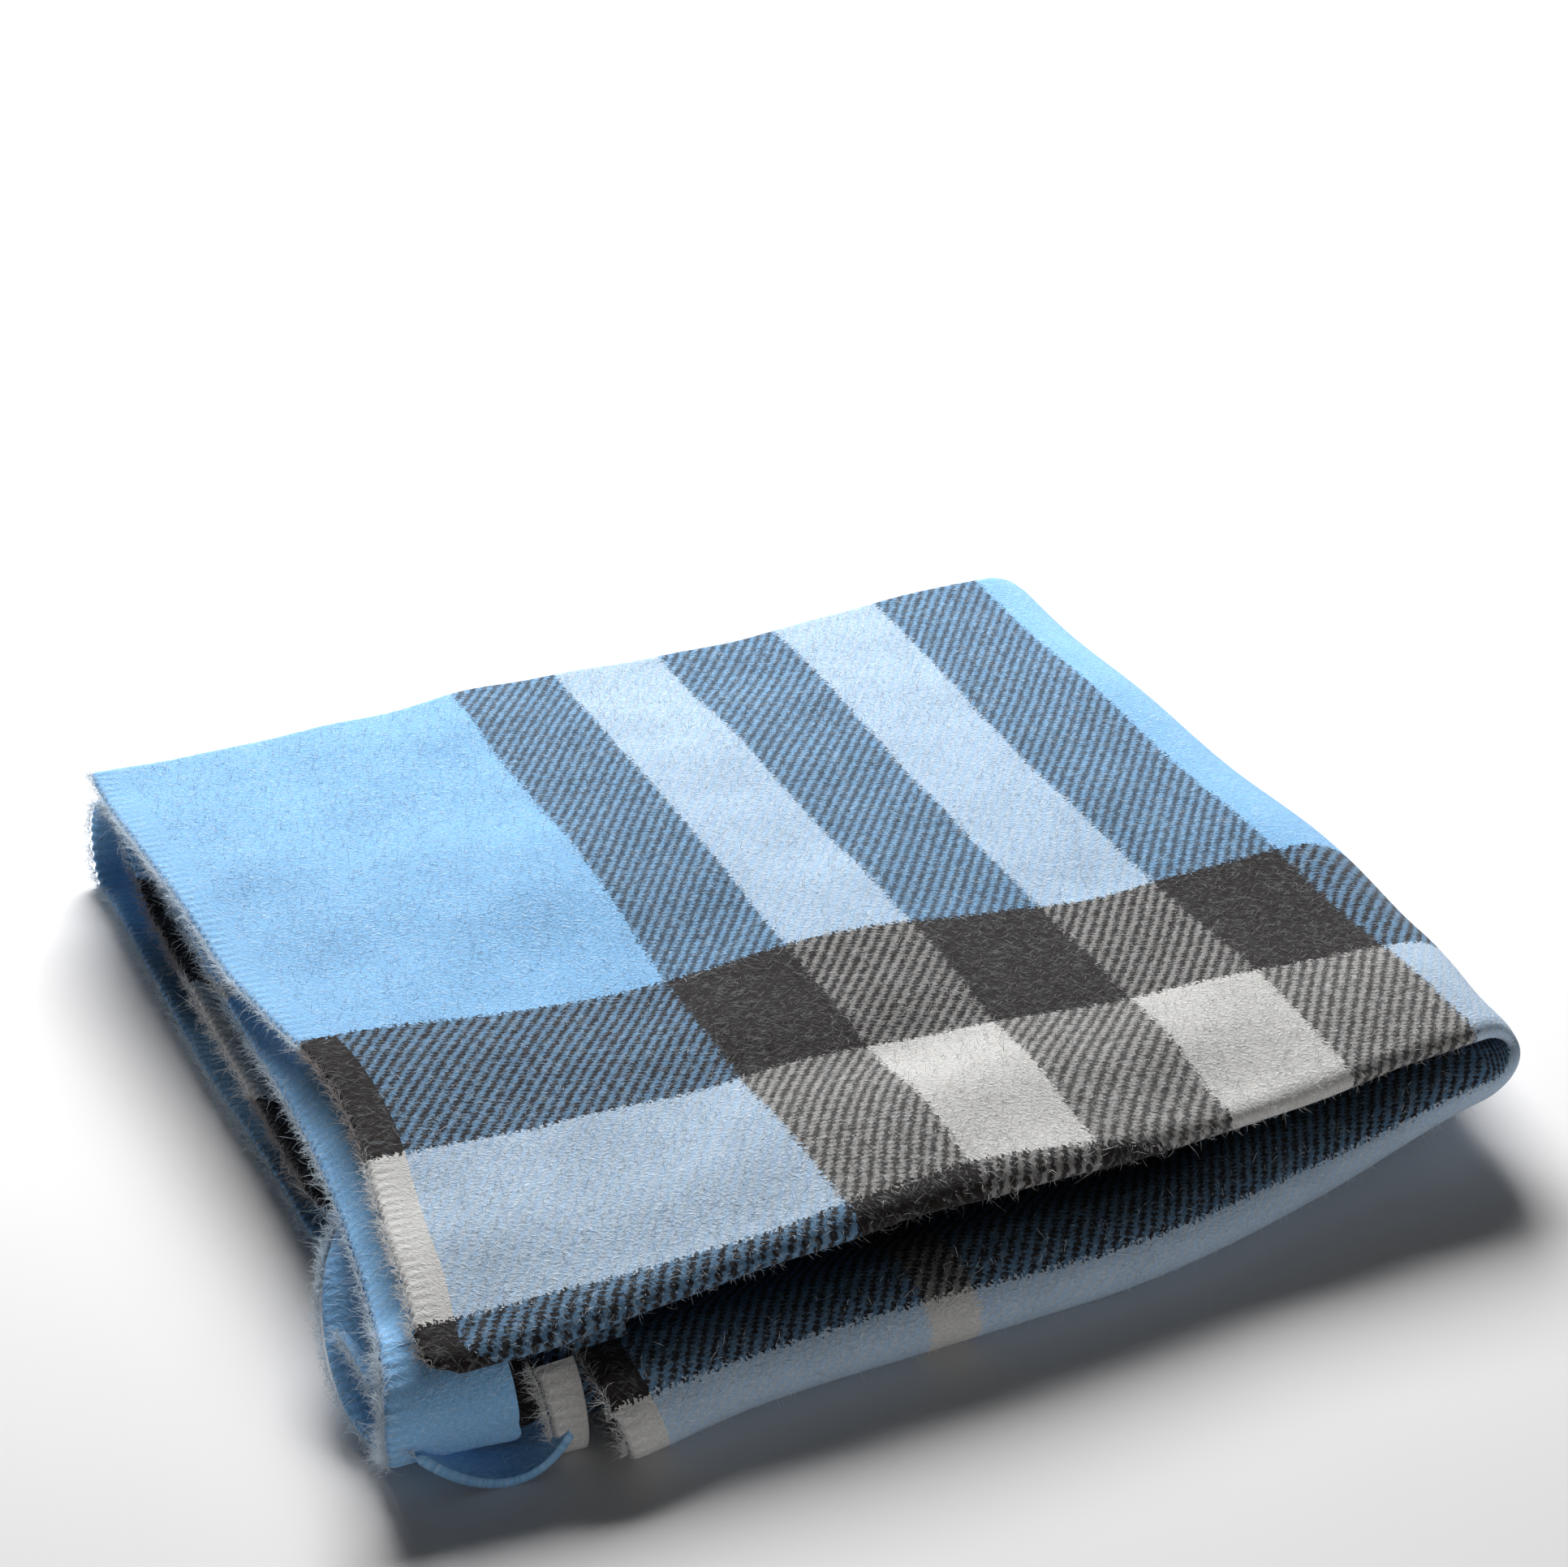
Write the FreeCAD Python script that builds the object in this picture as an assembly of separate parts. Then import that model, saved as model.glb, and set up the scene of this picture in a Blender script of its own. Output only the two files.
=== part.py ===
import FreeCAD, Part
import math
import os

# A tartan wool throw, folded flat for storage.  Millimetres, +Z up.
# Origin: centre of the footprint, on the surface that it lies on.
# +X runs to the side fold, +Y to the back folds.
#
# The cloth is folded over its length, letter fashion, and then once over its width at
# the side fold.  So it has an upper and a lower half, and each half has three leaves:
# the outer leaf, the tucked leaf that the back fold joins to it, and the flap leaf that
# the front fold joins to it.

# ---- driving dimensions -------------------------------------------------------------
PLY = 3.0                      # thickness of the brushed cloth
HEIGHT = 44.0                  # height of the folded stack
LENGTH_X = 362.0               # over the loose corner and the side fold
SELVEDGE = 11.0                # width of the ribbed selvedge
HEM = 8.0                      # depth of the turned hem at each cut end
HEM_EXTRA = 0.6                # how much thicker a hem is than the cloth

RIGHT = LENGTH_X / 2
SIDE_RADIUS = HEIGHT / 2       # the side fold wraps the whole stack
HINGE_X = RIGHT - SIDE_RADIUS  # the leaves end here and the side fold begins
HINGE_Z = SIDE_RADIUS

# Upper half: heights are those of the cloth's lower face
TOP_Z = HEIGHT - PLY
TOP_BACK_RADIUS = 5.0
TOP_FRONT_RADIUS = 7.0
TOP_BACK_Y = 159.0             # centre line of the upper back fold
TOP_FRONT_Y = -151.0           # centre line of the upper front fold
TUCKED_Z = HEIGHT - 2 * TOP_BACK_RADIUS
TUCKED_END_Y = TOP_FRONT_Y + 6.0
FLAP_Z = HEIGHT - 2 * TOP_FRONT_RADIUS
FLAP_END_Y = 118.0
TOP_EDGE = (-158.0, -164.0)    # where the selvedge lies at the front and at the back
TUCKED_EDGE = (-178.0, -166.0)
FLAP_EDGE = (-150.0, -156.0)

# Lower half: looser folds, and its selvedges slope in towards the front
LOW_FRONT_RADIUS = 14.5
LOW_BACK_RADIUS = 16.7
LOW_FRONT_Y = -158.5
LOW_BACK_Y = 156.3
LOW_TUCKED_MID = 14.0          # mid height of the lower tucked leaf
LOW_FLAP_MID = 23.0            # mid height of the lower flap leaf
LOW_TUCKED_END_Y = -130.0
LOW_FLAP_END_Y = 90.0
LOW_EDGE = (-124.0, -172.0)
LOW_TUCKED_EDGE = (-120.0, -168.0)
LOW_FLAP_EDGE = (-128.0, -160.0)

# The tucked leaf's loose corner, turned under at the front left
CORNER_TOP = TUCKED_Z - HEM_EXTRA / 2
CORNER_RADIUS = 14.35
CORNER_Y = TOP_FRONT_Y - TOP_FRONT_RADIUS - 0.5
CORNER_X = (-RIGHT, -137.0)

PLAN_Y = 200.0                 # the plan outlines reach past every fold


# ---- helpers ------------------------------------------------------------------------
def point(x, y, z):
    return FreeCAD.Vector(x, y, z)


def face_of(points):
    return Part.Face(Part.makePolygon(points + [points[0]]))


def ply_prism(centre_line, thickness=PLY):
    """A cloth strip along a line of (y, z) points, swept over the whole width."""
    count = len(centre_line)
    normals = []
    for index in range(count - 1):
        (y0, z0), (y1, z1) = centre_line[index], centre_line[index + 1]
        run = math.hypot(y1 - y0, z1 - z0)
        normals.append((-(z1 - z0) / run, (y1 - y0) / run))
    upper, lower = [], []
    for index, (y, z) in enumerate(centre_line):
        before = normals[max(index - 1, 0)]
        after = normals[min(index, count - 2)]
        sum_y, sum_z = before[0] + after[0], before[1] + after[1]
        scale = thickness / (sum_y ** 2 + sum_z ** 2)
        upper.append(point(-RIGHT, y + sum_y * scale, z + sum_z * scale))
        lower.append(point(-RIGHT, y - sum_y * scale, z - sum_z * scale))
    return face_of(upper + lower[::-1]).extrude(point(HINGE_X + RIGHT, 0, 0))


def slab_prism(y_front, y_back, z_low, thickness=PLY):
    middle = z_low + PLY / 2
    return ply_prism([(y_front, middle), (y_back, middle)], thickness)


def half_ring_face(centre, radius, direction, plane):
    """A half ring of cloth that bulges to direction (+1 or -1) along Y or X."""
    arcs = []
    for size in (radius, radius - PLY):
        if plane == "YZ":
            ends = [point(0, centre[0], centre[1] + size),
                    point(0, centre[0] + direction * size, centre[1]),
                    point(0, centre[0], centre[1] - size)]
        else:
            ends = [point(centre[0], 0, centre[1] + size),
                    point(centre[0] + direction * size, 0, centre[1]),
                    point(centre[0], 0, centre[1] - size)]
        arcs.append(Part.Arc(*ends).toShape())
    outer, inner = arcs
    top = Part.makeLine(outer.Vertexes[0].Point, inner.Vertexes[0].Point)
    bottom = Part.makeLine(outer.Vertexes[-1].Point, inner.Vertexes[-1].Point)
    return Part.Face(Part.Wire(Part.__sortEdges__([outer, bottom, inner, top])))


def fold_prism(centre, radius, direction, x_low=-RIGHT, x_high=HINGE_X):
    face = half_ring_face(centre, radius, direction, "YZ")
    face.translate(point(x_low, 0, 0))
    return face.extrude(point(x_high - x_low, 0, 0))


def edge_x(edge, y):
    """The x of a sloping selvedge, given at the front and the back, at any y."""
    front, back = edge
    return front + (back - front) * (y - LOW_FRONT_Y) / (LOW_BACK_Y - LOW_FRONT_Y)


def plan(edge, start, end=None):
    """The plan area from start to end past a selvedge, or from start to the side fold."""
    def x_right(y):
        return HINGE_X if end is None else edge_x(edge, y) + end

    corners = [
        point(edge_x(edge, -PLAN_Y) + start, -PLAN_Y, -1),
        point(x_right(-PLAN_Y), -PLAN_Y, -1),
        point(x_right(PLAN_Y), PLAN_Y, -1),
        point(edge_x(edge, PLAN_Y) + start, PLAN_Y, -1),
    ]
    return face_of(corners).extrude(point(0, 0, HEIGHT + 2))


def with_selvedge(name, prism, edge):
    """Split a run of cloth into its selvedge and the rest of its width."""
    return {
        name: prism.common(plan(edge, SELVEDGE)),
        name + "_selvedge": prism.common(plan(edge, 0, SELVEDGE)),
    }


# ---- sub-parts ----------------------------------------------------------------------
def upper_half():
    hem_ply = PLY + HEM_EXTRA
    tucked_hem_y = TUCKED_END_Y + HEM
    flap_hem_y = FLAP_END_Y - HEM
    nodes = {}
    nodes.update(with_selvedge("top_leaf", slab_prism(TOP_FRONT_Y, TOP_BACK_Y, TOP_Z), TOP_EDGE))
    nodes.update(with_selvedge("top_front_fold", fold_prism(
        (TOP_FRONT_Y, HEIGHT - TOP_FRONT_RADIUS), TOP_FRONT_RADIUS, -1), TOP_EDGE))
    nodes.update(with_selvedge("top_back_fold", fold_prism(
        (TOP_BACK_Y, HEIGHT - TOP_BACK_RADIUS), TOP_BACK_RADIUS, 1), TOP_EDGE))
    nodes.update(with_selvedge("top_tucked_leaf", slab_prism(
        tucked_hem_y, TOP_BACK_Y, TUCKED_Z), TUCKED_EDGE))
    nodes.update(with_selvedge("top_flap_leaf", slab_prism(
        TOP_FRONT_Y, flap_hem_y, FLAP_Z), FLAP_EDGE))
    nodes["top_tucked_hem"] = slab_prism(TUCKED_END_Y, tucked_hem_y, TUCKED_Z,
                                         hem_ply).common(plan(TUCKED_EDGE, 0))
    nodes["top_flap_hem"] = slab_prism(flap_hem_y, FLAP_END_Y, FLAP_Z,
                                       hem_ply).common(plan(FLAP_EDGE, 0))
    nodes["loose_corner"] = loose_corner(tucked_hem_y)
    return nodes


def loose_corner(hem_y):
    """The turned-under corner, with the tongue that hangs it from the tucked leaf's hem."""
    x_low, x_high = CORNER_X
    roll = fold_prism((CORNER_Y, CORNER_TOP - CORNER_RADIUS), CORNER_RADIUS, -1, x_low, x_high)
    tongue = Part.makeBox(edge_x(FLAP_EDGE, TOP_FRONT_Y) - 10 - x_low, hem_y - CORNER_Y, PLY,
                          point(x_low, CORNER_Y, CORNER_TOP - PLY))
    return roll.fuse(tongue).removeSplitter()


def lower_half():
    hem_ply = PLY + HEM_EXTRA
    half_ply = PLY / 2
    loop_top = 2 * LOW_BACK_RADIUS - half_ply
    lip_top = 2 * LOW_FRONT_RADIUS - half_ply
    tucked_hem_y = LOW_TUCKED_END_Y + HEM
    flap_hem_y = LOW_FLAP_END_Y - HEM
    tucked_line = [(LOW_BACK_Y, loop_top), (LOW_BACK_Y - 18, loop_top),
                   (LOW_BACK_Y - 44, LOW_TUCKED_MID), (tucked_hem_y, LOW_TUCKED_MID)]
    flap_line = [(LOW_FRONT_Y, lip_top), (LOW_FRONT_Y + 8, lip_top),
                 (LOW_FRONT_Y + 30, LOW_FLAP_MID), (flap_hem_y, LOW_FLAP_MID)]
    nodes = {}
    nodes.update(with_selvedge("bottom_leaf", slab_prism(LOW_FRONT_Y, LOW_BACK_Y, 0), LOW_EDGE))
    nodes.update(with_selvedge("bottom_front_fold", fold_prism(
        (LOW_FRONT_Y, LOW_FRONT_RADIUS), LOW_FRONT_RADIUS, -1), LOW_EDGE))
    nodes.update(with_selvedge("bottom_back_fold", fold_prism(
        (LOW_BACK_Y, LOW_BACK_RADIUS), LOW_BACK_RADIUS, 1), LOW_EDGE))
    nodes.update(with_selvedge("bottom_tucked_leaf", ply_prism(tucked_line), LOW_TUCKED_EDGE))
    nodes.update(with_selvedge("bottom_flap_leaf", ply_prism(flap_line), LOW_FLAP_EDGE))
    nodes["bottom_tucked_hem"] = ply_prism(
        [(LOW_TUCKED_END_Y, LOW_TUCKED_MID), (tucked_hem_y, LOW_TUCKED_MID)],
        hem_ply).common(plan(LOW_TUCKED_EDGE, 0))
    nodes["bottom_flap_hem"] = ply_prism(
        [(flap_hem_y, LOW_FLAP_MID), (LOW_FLAP_END_Y, LOW_FLAP_MID)],
        hem_ply).common(plan(LOW_FLAP_EDGE, 0))
    return nodes


def side_bight(top_mid, low_mid, y_front, y_back):
    """The half ring that joins one upper leaf to its lower leaf."""
    radius = (top_mid - low_mid) / 2 + PLY / 2
    face = half_ring_face((HINGE_X, (top_mid + low_mid) / 2), radius, 1, "XZ")
    face.translate(point(0, y_front, 0))
    return face.extrude(point(0, y_back - y_front, 0))


def side_corner(centre_y, radius, direction):
    """The end of an upper fold, turned about the hinge line down to the lower half."""
    face = half_ring_face((centre_y, HEIGHT - radius), radius, direction, "YZ")
    face.translate(point(HINGE_X, 0, 0))
    return face.revolve(point(HINGE_X, 0, HINGE_Z), point(0, 1, 0), 180)


def side_fold():
    half_ply = PLY / 2
    return {
        "side_fold_outer": side_bight(TOP_Z + half_ply, half_ply, TOP_FRONT_Y, TOP_BACK_Y),
        "side_fold_middle": side_bight(TUCKED_Z + half_ply, LOW_TUCKED_MID,
                                       LOW_TUCKED_END_Y + HEM, LOW_BACK_Y - 44),
        "side_fold_inner": side_bight(FLAP_Z + half_ply, LOW_FLAP_MID,
                                      LOW_FRONT_Y + 30, LOW_FLAP_END_Y - HEM),
        "side_fold_front_corner": side_corner(TOP_FRONT_Y, TOP_FRONT_RADIUS, -1),
        "side_fold_back_corner": side_corner(TOP_BACK_Y, TOP_BACK_RADIUS, 1),
    }


def main():
    os.makedirs("parts", exist_ok=True)
    nodes = {}
    nodes.update(upper_half())
    nodes.update(lower_half())
    nodes.update(side_fold())
    for name, shape in nodes.items():
        solid = shape.Solids[0]
        if len(shape.Solids) != 1 or not solid.isValid():
            raise RuntimeError(name + " is not one valid solid")
        solid.exportStep("parts/" + name + ".step")
        print(name, round(solid.Volume), [round(v, 1) for v in (
            solid.BoundBox.XMin, solid.BoundBox.XMax, solid.BoundBox.YMin,
            solid.BoundBox.YMax, solid.BoundBox.ZMin, solid.BoundBox.ZMax)])


main()
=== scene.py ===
import math

import bpy
import numpy as np
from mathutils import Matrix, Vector


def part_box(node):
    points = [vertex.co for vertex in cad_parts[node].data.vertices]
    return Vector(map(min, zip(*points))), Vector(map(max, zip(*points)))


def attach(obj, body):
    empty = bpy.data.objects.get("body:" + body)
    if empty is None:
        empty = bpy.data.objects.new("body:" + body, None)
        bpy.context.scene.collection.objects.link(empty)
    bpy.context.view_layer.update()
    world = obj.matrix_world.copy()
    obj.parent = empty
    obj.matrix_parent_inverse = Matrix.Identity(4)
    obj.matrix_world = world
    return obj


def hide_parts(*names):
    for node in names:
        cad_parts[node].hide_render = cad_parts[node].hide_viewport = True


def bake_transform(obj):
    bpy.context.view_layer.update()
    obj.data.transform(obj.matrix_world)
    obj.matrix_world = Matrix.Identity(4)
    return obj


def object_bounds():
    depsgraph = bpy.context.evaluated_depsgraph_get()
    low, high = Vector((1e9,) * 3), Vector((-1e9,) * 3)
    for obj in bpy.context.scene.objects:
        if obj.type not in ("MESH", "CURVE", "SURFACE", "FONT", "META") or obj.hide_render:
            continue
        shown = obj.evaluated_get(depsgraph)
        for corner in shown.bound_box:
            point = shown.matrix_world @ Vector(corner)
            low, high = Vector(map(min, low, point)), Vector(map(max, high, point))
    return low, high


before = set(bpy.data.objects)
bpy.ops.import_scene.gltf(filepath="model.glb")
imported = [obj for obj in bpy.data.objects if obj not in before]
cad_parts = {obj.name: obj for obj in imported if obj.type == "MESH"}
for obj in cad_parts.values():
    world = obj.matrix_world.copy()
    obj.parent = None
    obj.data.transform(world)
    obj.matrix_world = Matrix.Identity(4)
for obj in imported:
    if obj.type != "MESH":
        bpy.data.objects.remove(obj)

CAD_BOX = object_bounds()

# ---- the cloth, in metres -----------------------------------------------------------
PLY = 0.003
END_PITCH = 0.00100            # from one warp end to the next
PICK_PITCH = 0.00136           # from one weft pick to the next
RIB_PITCH = 2.5 * PICK_PITCH   # the picks turn back in small bundles at the selvedge
SELVEDGE = 0.011
SKEW = 0.09                    # how far the weft stripes run off the line of the folds

low_corner, high_corner = CAD_BOX
TOP = high_corner.z
LEFT = low_corner.x
HINGE_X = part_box("top_leaf")[1].x
HINGE_Z = TOP / 2
SIDE_ARC = math.pi * (HINGE_Z - PLY / 2)   # cloth taken up by the outer side fold
MIDDLE = (low_corner + high_corner) / 2
UP = {"top": 1, "bottom": -1}              # which way the outside of each half faces
INSIDE = 0.1                               # so far from a selvedge that no edge shows


# ---- smooth fields ------------------------------------------------------------------
WAVE_COUNT = 7


def waves(x, y, seed, length, amplitude):
    """A sum of plane waves of about one length, in every direction."""
    local = np.random.default_rng(seed)
    total = np.zeros(np.broadcast(x, y).shape)
    for _ in range(WAVE_COUNT):
        angle = local.uniform(0, math.pi)
        size = length * local.uniform(0.75, 1.5)
        phase = local.uniform(0, 2 * math.pi)
        run = x * math.cos(angle) + y * math.sin(angle)
        total = total + np.sin(2 * math.pi * run / size + phase)
    return total * amplitude / math.sqrt(WAVE_COUNT)


def hill(x, y, centre, radius, height):
    """A round or oval rise; a negative height makes it a dip."""
    away = ((x - centre[0]) / radius[0]) ** 2 + ((y - centre[1]) / radius[1]) ** 2
    return height * np.exp(-away)


def smooth(t):
    """Eases from 0 to 1 while t goes from 0 to 1."""
    t = np.clip(t, 0.0, 1.0)
    return t * t * (3 - 2 * t)


# Rises and dips that the whole stack shares: centre (x, y), radius (x, y) and height
HILLS = [
    ((-0.165, -0.165), (0.055, 0.070), -0.0080),   # the front left corner hangs
    ((0.000, -0.088), (0.075, 0.018), -0.0026),    # a valley behind the front edge
    ((0.020, -0.116), (0.085, 0.024), 0.0024),     # a crest in front of it
    ((-0.020, 0.060), (0.060, 0.050), 0.0026),
    ((0.080, 0.010), (0.045, 0.060), -0.0024),
]


def settle(points):
    """The unevenness that the whole stack shares, so no ply passes through the next. The top
    rises and dips, and the lower folds sit forward at the left and pulled back at the right."""
    x, y, z = points[..., 0], points[..., 1], points[..., 2]
    height_share = np.clip(z / TOP, 0.0, 1.0)
    lift = waves(x, y, 5, 0.12, 0.0013)
    for centre, radius, height in HILLS:
        lift = lift + hill(x, y, centre, radius, height)
    right_corner_lift = 0.010 * smooth((x - 0.100) / 0.08) * smooth((-0.070 - y) / 0.08)
    front = smooth((-0.030 - y) / 0.10)
    pushed_forward = hill(x, 0, (-0.124, 0), (0.030, 1), 0.0080)
    pulled_back = 0.030 * smooth((x - 0.020) / 0.16) - pushed_forward
    moved = points.copy()
    moved[..., 2] = z + lift * height_share + right_corner_lift * (1 - height_share)
    moved[..., 1] = y + pulled_back * (1 - height_share) * front
    return moved


# ---- lines that the plies follow, seen from the side --------------------------------
def straight(start, end, count):
    """Points along a straight line."""
    t = np.linspace(0, 1, count)[:, None]
    return (1 - t) * np.array(start) + t * np.array(end)


def arc(centre, radius, start, end, count):
    """Points on a circle; the angles are in degrees from +Y towards +Z."""
    angle = np.radians(np.linspace(start, end, count))
    return np.stack([centre[0] + radius * np.cos(angle), centre[1] + radius * np.sin(angle)], 1)


def joined(runs):
    """One line from several that meet end to end."""
    return np.concatenate([runs[0]] + [run[1:] for run in runs[1:]])


def lengths(line):
    """The length of cloth from the start of a line to each of its points."""
    steps = np.linalg.norm(np.diff(line, axis=0), axis=1)
    return np.concatenate([[0.0], np.cumsum(steps)])


def fold_of(node, face):
    """The centre (y, z) and mid-ply radius of a fold. face 0 or 1 is the low or high y face."""
    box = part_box(node)
    return (box[face].y, (box[0].z + box[1].z) / 2), (box[1].z - box[0].z - PLY) / 2


# Rows of points in each section of a half, in their order along the cloth
ROWS = {"flap": 60, "front": 30, "outer": 170, "back": 34, "tucked": 130}


def stops():
    """Where each section of a half begins and ends, as row numbers."""
    at, found = 0, {}
    for name, count in ROWS.items():
        found[name] = (at, at + count - 1)
        at += count - 1
    return found


STOPS = stops()


PRESS_FULL = 0.007         # the length at the fold that is pressed in full
PRESS_FADE = 0.036         # and the length behind it over which the pressing fades
PRESS_RISE = 0.0040        # how far the lowest ply rises
PRESS_SQUEEZE = 0.0055     # how much closer the lowest and the highest ply come
PRESS_BACK = 0.0030        # how far the fold draws back


def pressed(line):
    """Presses the front fold flatter, so that its leaves close up on the way to the fold."""
    y, z = line[:, 0], line[:, 1]
    share = smooth((y.min() + PRESS_FULL + PRESS_FADE - y) / PRESS_FADE)
    height = (z - z.min()) / (z.max() - z.min())
    return np.stack([y + share * PRESS_BACK, z + share * (PRESS_RISE - PRESS_SQUEEZE * height)], 1)


FLAP_BEND_START = 0.007    # from the front fold to where the flap leaf leaves its straight line
FLAP_BEND_REACH = 0.020
TUCKED_BEND_START = 0.012  # from the back fold to where the tucked leaf leaves its own
TUCKED_BEND_REACH = 0.040


def half_line(prefix, flap_drop, tucked_drop):
    """The plies of one half as one line of (y, z), from the flap leaf's end round the front
    fold, along the outer leaf, round the back fold and along the tucked leaf."""
    front, front_radius = fold_of(prefix + "_front_fold", 1)
    back, back_radius = fold_of(prefix + "_back_fold", 0)
    up = UP[prefix]
    flap_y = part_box(prefix + "_flap_hem")[1].y
    tucked_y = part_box(prefix + "_tucked_hem")[0].y
    flap_near = (front[0], front[1] - up * front_radius)
    tucked_near = (back[0], back[1] - up * back_radius)
    flap_line = straight((flap_y, flap_near[1]), flap_near, ROWS["flap"])
    tucked_line = straight(tucked_near, (tucked_y, tucked_near[1]), ROWS["tucked"])
    flap_share = smooth((flap_line[:, 0] - front[0] - FLAP_BEND_START) / FLAP_BEND_REACH)
    tucked_share = smooth((back[0] - TUCKED_BEND_START - tucked_line[:, 0]) / TUCKED_BEND_REACH)
    flap_line[:, 1] -= flap_drop * flap_share
    tucked_line[:, 1] -= tucked_drop * tucked_share
    line = joined([
        flap_line,
        arc(front, front_radius, 180 + up * 90, 180 - up * 90, ROWS["front"]),
        straight((front[0], front[1] + up * front_radius),
                 (back[0], back[1] + up * back_radius), ROWS["outer"]),
        arc(back, back_radius, up * 90, -up * 90, ROWS["back"]),
        tucked_line,
    ])
    return pressed(line) if prefix == "top" else line


def by_section(values):
    """Row by row values, smoothly joined where one section meets the next."""
    rows = sum(ROWS.values()) - len(ROWS) + 1
    out = np.zeros(rows)
    for name, (first, last) in STOPS.items():
        out[first:last + 1] = values[name][first:last + 1]
    for name, before, after in (("front", "flap", "outer"), ("back", "outer", "tucked")):
        first, last = STOPS[name]
        t = smooth(np.linspace(0, 1, last - first + 1))
        out[first:last + 1] = values[before][first] * (1 - t) + values[after][last] * t
    return out


# ---- meshes -------------------------------------------------------------------------
def grid_faces(rows, columns, start=0, flip=False):
    """Four-cornered faces of a grid whose points are numbered row by row from start."""
    row, column = np.meshgrid(np.arange(rows - 1), np.arange(columns - 1), indexing="ij")
    a = start + row * columns + column
    faces = np.stack([a, a + 1, a + columns + 1, a + columns], -1).reshape(-1, 4)
    return faces[:, ::-1] if flip else faces


def surface_normals(points):
    """The unit normal at each point of a grid."""
    normal = np.cross(np.gradient(points, axis=1), np.gradient(points, axis=0))
    size = np.linalg.norm(normal, axis=-1, keepdims=True)
    return normal / np.maximum(size, 1e-12)


def make_object(name, vertices, faces):
    """A smooth object in the scene, from an array of points and an array of faces."""
    mesh = bpy.data.meshes.new(name)
    corners = faces.shape[1]
    mesh.vertices.add(len(vertices))
    mesh.vertices.foreach_set("co", vertices.astype(np.float32).ravel())
    mesh.loops.add(faces.size)
    mesh.loops.foreach_set("vertex_index", faces.astype(np.int32).ravel())
    mesh.polygons.add(len(faces))
    mesh.polygons.foreach_set("loop_start", np.arange(0, faces.size, corners, dtype=np.int32))
    mesh.polygons.foreach_set("loop_total", np.full(len(faces), corners, dtype=np.int32))
    mesh.update(calc_edges=True)
    mesh.polygons.foreach_set("use_smooth", np.ones(len(faces), dtype=bool))
    piece = bpy.data.objects.new(name, mesh)
    bpy.context.scene.collection.objects.link(piece)
    return piece


def thick_sheet(name, points, cloth, thickness, outward, material):
    """A closed cloth mesh round a grid of mid-ply points. cloth holds each point's place in
    the weave, and outward settles which side the normals take as the face."""
    rows, columns = points.shape[:2]
    normals = surface_normals(points)
    turned = np.sum(normals * outward) < 0
    if turned:
        normals = -normals
    offset = normals * (thickness / 2)[..., None]
    vertices = np.concatenate([(points + offset).reshape(-1, 3), (points - offset).reshape(-1, 3)])
    count = rows * columns
    rim = np.concatenate([
        np.arange(columns),
        np.arange(1, rows) * columns + columns - 1,
        (rows - 1) * columns + np.arange(columns - 2, -1, -1),
        np.arange(rows - 2, 0, -1) * columns,
    ])
    walls = np.stack([rim, rim + count, np.roll(rim, -1) + count, np.roll(rim, -1)], -1)
    faces = np.concatenate([
        grid_faces(rows, columns),
        grid_faces(rows, columns, count, flip=True),
        walls,
    ])
    if turned:
        faces = faces[:, ::-1]
    piece = make_object(name, vertices, faces)
    both = np.concatenate([cloth.reshape(-1, 3)] * 2)
    attribute = piece.data.attributes.new("cloth", "FLOAT_VECTOR", "POINT")
    attribute.data.foreach_set("vector", both.astype(np.float32).ravel())
    piece.data.materials.append(material)
    return piece


def crease(piece, marked):
    """Marks the edges between marked points of both faces as sharp, so that two pieces that
    meet there shade as one cloth."""
    mesh = piece.data
    both = np.concatenate([marked.ravel()] * 2)
    ends = np.empty(len(mesh.edges) * 2, dtype=np.int32)
    mesh.edges.foreach_get("vertices", ends)
    sharp = both[ends.reshape(-1, 2)].all(axis=1)
    attribute = mesh.attributes.new("sharp_edge", "BOOLEAN", "EDGE")
    attribute.data.foreach_set("value", sharp)


def side_columns(points, first=True):
    """Marks the last column of a grid of points, and its first one unless first is False."""
    marked = np.zeros(points.shape[:2], dtype=bool)
    marked[:, 0] = first
    marked[:, -1] = True
    return marked


EDGE_RADIUS = PLY / 2
THINNEST = 0.02            # the squared share of the thickness that is left at the very edge


def edge_round(distance):
    """The share of the full thickness near a free edge, which falls away as a half round."""
    t = np.clip(1 - distance / EDGE_RADIUS, 0.0, 1.0)
    return np.sqrt(np.maximum(1 - t * t, THINNEST))


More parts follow.
